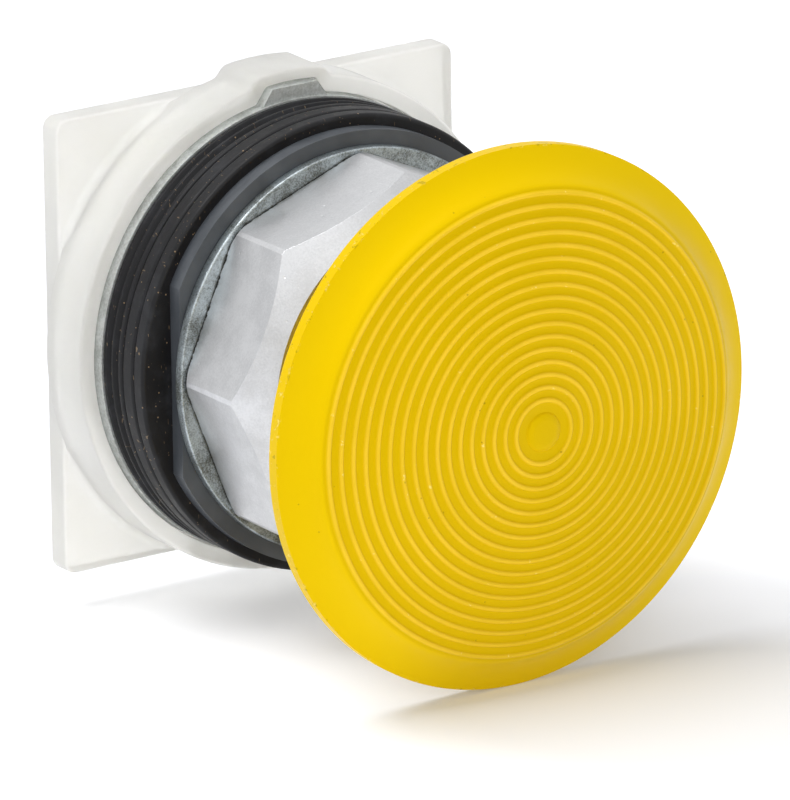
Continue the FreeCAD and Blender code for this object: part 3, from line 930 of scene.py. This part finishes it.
class Clamp(Builder):
    """Ring nut, washers and gaskets that clamp the panel."""

    def __init__(self, paints: Paintbox) -> None:
        """Take the bore of every clamping piece from the barrel.

        Args:
            paints: The shared finishes.
        """
        super().__init__(paints)
        self.s = ClampSizes()
        self.bore_r = self.s.barrel_r + self.s.bore_play

    def ring_nut(self) -> None:
        """Turn the nut's section, cut its flats and break its edges."""
        s = self.s
        low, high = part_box("ring_nut")
        flat_r = s.nut_flat_r
        corner_r = flat_r / math.cos(math.pi / s.nut_sides) - s.nut_corner_round
        front_r = s.barrel_r + s.nut_front_w
        cone_end = low.y + (corner_r - front_r) / math.tan(math.radians(s.cone_angle))
        corners = [
            (self.bore_r + s.nut_mouth, low.y, s.nut_mouth_round), (front_r, low.y, s.nut_front_round),
            (corner_r, cone_end, 0.0), (corner_r, high.y - s.nut_rear, 0.0),
            (corner_r - s.nut_rear, high.y, s.nut_rear_round), (self.bore_r, high.y, 0.0),
            (self.bore_r, low.y + s.nut_mouth, 0.0),
        ]
        bm = lathe(softened(corners), s.nut_steps)
        for side in range(s.nut_sides):
            angle = math.radians(s.nut_turn) + math.pi * (2 * side + 1) / s.nut_sides
            outward = Vector((math.cos(angle), 0.0, math.sin(angle)))
            slice_off(bm, outward * flat_r, outward)
        bmesh.ops.recalc_face_normals(bm, faces=bm.faces[:])
        break_edges(bm, s.nut_edge, s.bevel_over, 3)
        self.place("ring_nut_body", bm, "nut", Finish.NUT, "chrome", ["ring_nut"])

    def thrust_washer(self) -> None:
        """Turn the zinc washer under the nut."""
        s = self.s
        low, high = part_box("thrust_washer")
        corners = [
            (self.bore_r, low.y, s.washer_bore_round), (high.x, low.y, s.washer_round),
            (high.x, high.y, s.washer_round), (self.bore_r, high.y, s.washer_bore_round),
        ]
        bm = lathe(softened(corners))
        self.place("thrust_ring", bm, "thrust_ring", Finish.THRUST, "zinc_plate", ["thrust_washer"])

    def gasket(self, node: str, grooves: Sequence[float] = ()) -> None:
        """Turn one gasket with rounded rims.

        Args:
            node: Fixed node that it stands for.
            grooves: Share of the thickness at which a groove runs round the rim.
        """
        s = self.s
        low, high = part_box(node)
        corners: list[Corner] = [(self.bore_r, low.y, 0.0), (high.x, low.y, s.gasket_edge)]
        for share in grooves:
            middle = low.y + (high.y - low.y) * share
            inner, half_floor = high.x - s.groove_depth, s.groove_w * s.groove_floor
            corners += [
                (high.x, middle - s.groove_w, s.groove_lip),
                (inner, middle - half_floor, s.groove_foot),
                (inner, middle + half_floor, s.groove_foot),
                (high.x, middle + s.groove_w, s.groove_lip),
            ]
        corners += [(high.x, high.y, s.gasket_edge), (self.bore_r, high.y, 0.0)]
        bm = lathe(softened(corners, 4))
        self.place(node + "_moulding", bm, "operator", Finish.RUBBER, "rubber", [node])

    def build(self) -> None:
        """Make the clamping pieces."""
        self.ring_nut()
        self.thrust_washer()
        self.dress({"trim_washer": Finish.TRIM})
        self.gasket("gasket_front")
        self.gasket("gasket_middle")
        self.gasket("gasket_rear", (0.32, 0.68))


# ---- Body ----
class Body(Builder):
    """Casting, its bush, seal, key and inserts."""

    def build(self) -> None:
        """Dress the fixed pieces."""
        self.dress({
            "operator_body": Finish.CASTING, "guide_bushing": Finish.BRONZE,
            "wiper_seal": Finish.RUBBER, "panel_key": Finish.STEEL,
            "contact_insert_left": Finish.BRASS, "contact_insert_right": Finish.BRASS,
        })


# ---- Rear cap ----
@dataclass
class CapSizes:
    """Sizes of the rear cap that the frame's box doesn't give."""

    play: float = 0.15 * MM
    wall: float = 1.6 * MM
    drum_r: float = 19.5 * MM
    drum_play: float = 1.48 * MM
    flange_rear: float = 10.35 * MM
    plate_inset: float = 1.7 * MM
    plate_t: float = 2.54 * MM
    plate_corner: float = 1.2 * MM
    floor: float = 1.5 * MM
    bump_half: float = 3.6 * MM
    pocket_half: float = 2.63 * MM
    pocket_top: float = 23.65 * MM
    flank: float = 35.0
    edge: float = 0.3 * MM
    cove: float = 0.9 * MM
    blur: float = 1.1
    pocket_blur: float = 0.3
    centre_ring: float = 2.0 * MM
    middle_ring: float = 12.0 * MM
    plate_ring: float = 3.0 * MM
    cove_steps: int = 6
    cove_gap: float = 0.05 * MM
    inner_edge: float = 0.6
    floor_round: float = 0.5 * MM
    floor_mid: float = 0.15 * MM
    steps: int = 720


class RearCap(Builder):
    """Slip-on cap: collar with a key pocket, closed by a square plate."""

    def __init__(self, paints: Paintbox) -> None:
        """Read the cap's place from the frame.

        Args:
            paints: The shared finishes.
        """
        super().__init__(paints)
        self.s = CapSizes()
        low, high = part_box("rear_cap")
        body_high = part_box("operator_body")[1]
        self.mouth = low.y
        self.rear = high.y
        self.plate_front = self.rear - self.s.plate_t
        self.bore_r = body_high.x + self.s.play
        self.rim_r = self.bore_r + self.s.wall
        self.inner_r = self.s.drum_r + self.s.drum_play
        self.bump_r = high.z
        self.half_plate = self.rim_r - self.s.plate_inset
        self.turns = [FULL_TURN * i / self.s.steps for i in range(self.s.steps)]
        self.collar_r = self.blurred(
            lambda a: self.raised(a, self.rim_r, self.s.bump_half, self.bump_r))
        self.hole_r = self.blurred(
            lambda a: self.raised(a, self.bore_r, self.s.pocket_half, self.s.pocket_top),
            self.s.pocket_blur)
        self.plate_r = [self.square(turn) for turn in self.turns]

    def raised(self, angle: float, rim: float, half: float, top: float) -> float:
        """Radius of a circle with a wedge raised at +Z, at an angle from the X axis.

        Args:
            angle: Angle about the axis.
            rim: Radius of the circle.
            half: Half width of the wedge's top.
            top: Height of the wedge's top.

        Returns:
            The radius.
        """
        up = math.sin(angle)
        across = abs(math.cos(angle))
        if up <= 0.0:
            return rim
        lean = math.tan(math.radians(self.s.flank))
        # The flank is the line across = half + (top - up) * lean.
        flank = (half + top * lean) / (across + up * lean)
        return max(rim, min(top / up if across > up * 1e-9 else top, flank, top))

    def blurred(self, outline: Callable[[float], float], scale: float = 1.0) -> list[float]:
        """Sample an outline all round, its corners softened by averaging over a few degrees.

        Args:
            outline: Radius as a function of angle.
            scale: Factor on the usual softening.

        Returns:
            One radius for each step round.
        """
        reach = math.radians(self.s.blur * scale)
        shifts = [reach * share / 4.0 for share in range(-4, 5)]
        return [sum(outline(turn + shift) for shift in shifts) / len(shifts) for turn in self.turns]

    def square(self, angle: float) -> float:
        """Radius of the plate's rounded square at an angle from the X axis.

        Args:
            angle: Angle about the axis.

        Returns:
            The radius.
        """
        rounding = self.s.plate_corner
        across = abs(math.cos(angle))
        up = abs(math.sin(angle))
        straight = self.half_plate / max(across, up)
        corner = self.half_plate - rounding
        along = corner * (across + up)
        root = along ** 2 - 2.0 * corner ** 2 + rounding ** 2
        if root > 0.0 and min(across, up) * straight > corner:
            return along + math.sqrt(root)
        return straight

    def level(self, value: float) -> list[float]:
        """One value at every step round."""
        return [value] * self.s.steps

    def front_edge(self, radii: list[float], front: float) -> list[Ring]:
        """Round the front edge of a wall, from its side to its face.

        Args:
            radii: The wall's radius at each step round.
            front: Y of its face.

        Returns:
            The rings across the edge.
        """
        edge = self.s.edge
        return [([r - edge * (1.0 - math.cos(t)) for r in radii],
                 self.level(front + edge * (1.0 - math.sin(t)))) for t in QUARTER]

    def rings(self) -> list[Ring]:
        """List the rings of the skin, from the back of the plate round the outside to the floor.

        Returns:
            Radii and Y of each ring, one value for each step round.
        """
        s = self.s
        level = self.level
        made = [(level(radius), level(self.rear))
                for radius in (s.centre_ring, s.middle_ring, self.half_plate - s.plate_ring)]
        made += [([r - s.edge * (1.0 - math.sin(t)) for r in self.plate_r],
                  level(self.rear - s.edge * (1.0 - math.cos(t)))) for t in QUARTER]
        made += self.front_edge(self.plate_r, self.plate_front)
        coves = [max(-s.edge, min(s.cove, plate - s.edge - s.cove_gap - collar))
                 for plate, collar in zip(self.plate_r, self.collar_r)]
        for step in range(s.cove_steps, -1, -1):
            t = math.pi / 2 * step / s.cove_steps
            radii = [collar + cove * (1.0 - math.cos(t)) for collar, cove in zip(self.collar_r, coves)]
            made.append((radii, [self.plate_front - abs(cove) * (1.0 - math.sin(t)) for cove in coves]))
        made += self.front_edge(self.collar_r, self.mouth)
        inner = s.edge * s.inner_edge
        made += [([r + inner * (1.0 - math.sin(t)) for r in self.hole_r],
                  level(self.mouth + inner * (1.0 - math.cos(t))))
                 for t in (0.0, math.pi / 4, math.pi / 2)]
        made += [(self.hole_r, level(s.flange_rear)), (level(self.inner_r), level(s.flange_rear))]
        floor = self.rear - s.floor
        made += [(level(radius), level(along)) for radius, along in (
            (self.inner_r, floor - s.floor_round), (self.inner_r - s.floor_mid, floor - s.floor_mid),
            (self.inner_r - s.floor_round, floor), (s.centre_ring, floor))]
        return made

    def shell(self) -> BMesh:
        """Extrude one ring of points along the skin, from the middle of the back to the middle inside.

        Returns:
            The closed mesh.
        """
        bm = bmesh.new()
        ring = bmesh.ops.create_circle(bm, cap_ends=True, radius=1.0, segments=self.s.steps)["verts"]
        ring.sort(key=lambda vert: math.atan2(vert.co.y, vert.co.x) % FULL_TURN)
        for index, (radii, depths) in enumerate(self.rings()):
            if index:
                edges = [bm.edges.get(pair) for pair in zip(ring, ring[1:] + ring[:1])]
                grown = bmesh.ops.extrude_edge_only(bm, edges=edges)["geom"]
                fresh = {item for item in grown if isinstance(item, bmesh.types.BMVert)}
                ring = [next(edge.other_vert(vert) for edge in vert.link_edges
                             if edge.other_vert(vert) in fresh) for vert in ring]
            for vert, turn, radius, depth in zip(ring, self.turns, radii, depths):
                vert.co = (radius * math.cos(turn), depth, radius * math.sin(turn))
        bmesh.ops.contextual_create(bm, geom=ring)
        bmesh.ops.recalc_face_normals(bm, faces=bm.faces[:])
        return bm

    def build(self) -> None:
        """Make the cap."""
        self.place("rear_cap_moulding", self.shell(), "cap", Finish.CAP, "cap_plastic", ["rear_cap"])


# ---- Studio ----
@dataclass(frozen=True)
class SoftBox:
    """One soft box, its power in watts."""

    name: str
    place: Corner
    width: float
    height: float
    power: float


@dataclass
class StudioSizes:
    """Camera, floor, world and lamps."""

    key: SoftBox = SoftBox("key", (-0.28, 0.10, 0.82), 0.62, 0.55, 6.4)
    fill: SoftBox = SoftBox("fill", (-0.40, -1.52, 0.50), 1.3, 1.0, 7.0)
    aim: Corner = (0.0, -0.01, 0.0)
    world_light: float = 0.40
    world_seen: float = 0.60
    floor_colour: Colour = (0.78, 0.79, 0.82)
    clip: Point = (0.05, 20.0)
    azimuth: float = -33.6
    elevation: float = 17.75
    roll: float = -0.85
    distance: float = 1.3095
    target_x: float = 5.96 * MM
    target_z: float = -6.68 * MM
    lens: float = 630.0
    sensor: float = 36.0
    floor_drop: float = 0.05 * MM
    floor_size: float = 3.0
    # Floor glow near and far from the painted shadow's middle: the low value paints shadow in front of
    # the head, the high one paints light over the real shadow further off.
    glow: Point = (0.14, 0.42)
    painted_shadow_x: float = 16.0 * MM
    painted_shadow_y: float = -36.0 * MM
    painted_shadow_span: Point = (24.0 * MM, 42.0 * MM)


class Studio:
    """Pale floor, soft lamps and the camera."""

    def __init__(self) -> None:
        """Read the floor's height from the object's box."""
        self.s = StudioSizes()
        self.floor_z = CAD_BOX[0].z - self.s.floor_drop

    def camera(self) -> None:
        """Aim the camera at the button from its left, in front and above."""
        s = self.s
        azimuth, elevation, roll = (math.radians(v) for v in (s.azimuth, s.elevation, s.roll))
        level = math.cos(elevation)
        back = Vector((math.sin(azimuth) * level, -math.cos(azimuth) * level, math.sin(elevation)))
        right = Vector((math.cos(azimuth), math.sin(azimuth), 0.0))
        up = back.cross(right)
        lean_right = right * math.cos(roll) + up * math.sin(roll)
        lean_up = up * math.cos(roll) - right * math.sin(roll)
        data = bpy.data.cameras.new("camera")
        data.lens = s.lens
        data.sensor_width = s.sensor
        data.clip_start, data.clip_end = s.clip
        camera = bpy.data.objects.new("camera", data)
        turn = Matrix((lean_right, lean_up, back)).transposed().to_4x4()
        place = Vector((s.target_x, 0.0, s.target_z)) + back * s.distance
        camera.matrix_world = Matrix.Translation(place) @ turn
        show(camera)
        bpy.context.scene.camera = camera

    def floor(self) -> None:
        """Lay the pale floor, which shows white but keeps the button's shadow; its glow is lower in a
        patch in front of the head, a painted shadow, and higher further off, which paints light over
        the real shadow there.
        """
        bm = bmesh.new()
        bmesh.ops.create_grid(bm, x_segments=1, y_segments=1, size=self.s.floor_size / 2.0)
        bmesh.ops.translate(bm, verts=bm.verts[:], vec=(0.0, 0.0, self.floor_z))
        mesh = bpy.data.meshes.new("floor")
        bm.to_mesh(mesh)
        bm.free()
        floor = bpy.data.objects.new("floor", mesh)
        show(floor)
        g = Graph("pale_floor")
        g.constants(Base_Color=(*self.s.floor_colour, 1.0), Roughness=0.9, Specular_IOR_Level=0.1,
                    Emission_Color=(1.0, 1.0, 1.0, 1.0))
        # Painted shadow: the floor glows less near the given point in front of the head, and more
        # beyond the span, which washes out the real shadow there.
        across, along, _ = g.axis_parts()
        aside = g.minus(across, self.s.painted_shadow_x)
        ahead = g.minus(along, self.s.painted_shadow_y)
        reach = g.maths("SQRT", g.plus(g.times(aside, aside),
                                        g.times(ahead, ahead)))
        g.drive("Emission Strength", g.between(reach, *self.s.painted_shadow_span, *self.s.glow))
        mesh.materials.append(g.material)

    @staticmethod
    def seen(tree: bpy.types.NodeTree, strength: float) -> Socket:
        """A strength that only camera, glossy and transmission rays see.

        Args:
            tree: Node tree to build in.
            strength: The strength for those rays.

        Returns:
            The strength's socket.
        """
        path = tree.nodes.new("ShaderNodeLightPath")
        total = path.outputs["Is Camera Ray"]
        for name in ("Is Glossy Ray", "Is Transmission Ray"):
            add = tree.nodes.new("ShaderNodeMath")
            add.operation = "MAXIMUM"
            tree.links.new(total, add.inputs[0])
            tree.links.new(path.outputs[name], add.inputs[1])
            total = add.outputs["Value"]
        scale = tree.nodes.new("ShaderNodeMath")
        scale.operation = "MULTIPLY"
        tree.links.new(total, scale.inputs[0])
        scale.inputs[1].default_value = strength
        return scale.outputs["Value"]

    def sky(self) -> None:
        """A white world for the camera and a dimmer one for the light."""
        world = bpy.data.worlds.new("studio")
        bpy.context.scene.world = world
        world.use_nodes = True
        tree = world.node_tree
        background = tree.nodes["Background"]
        background.inputs["Color"].default_value = (1.0, 1.0, 1.0, 1.0)
        base = tree.nodes.new("ShaderNodeMath")
        base.operation = "ADD"
        base.inputs[1].default_value = self.s.world_light
        tree.links.new(self.seen(tree, self.s.world_seen), base.inputs[0])
        tree.links.new(base.outputs["Value"], background.inputs["Strength"])

    def lamp(self, box: SoftBox) -> None:
        """Hang one soft box.

        Args:
            box: The soft box.
        """
        data = bpy.data.lights.new(box.name, "AREA")
        data.shape = "RECTANGLE"
        data.size = box.width
        data.size_y = box.height
        data.energy = box.power
        lamp = bpy.data.objects.new(box.name, data)
        place = Vector(box.place)
        turn = (Vector(self.s.aim) - place).to_track_quat("-Z", "Y").to_matrix().to_4x4()
        lamp.matrix_world = Matrix.Translation(place) @ turn
        show(lamp)

    def build(self) -> None:
        """Set the whole stage."""
        self.camera()
        self.floor()
        self.sky()
        self.lamp(self.s.key)
        self.lamp(self.s.fill)
        bpy.context.scene.view_settings.view_transform = "Standard"


def main() -> None:
    """Build the stage and every sub-assembly."""
    logging.basicConfig(level=logging.INFO, format="%(name)s: %(message)s")
    Studio().build()
    paints = Paintbox()
    for part in (Head, Plunger, Clamp, Body, RearCap):
        LOG.info("building %s", part.__name__)
        part(paints).build()


if __name__ == "__main__":
    main()
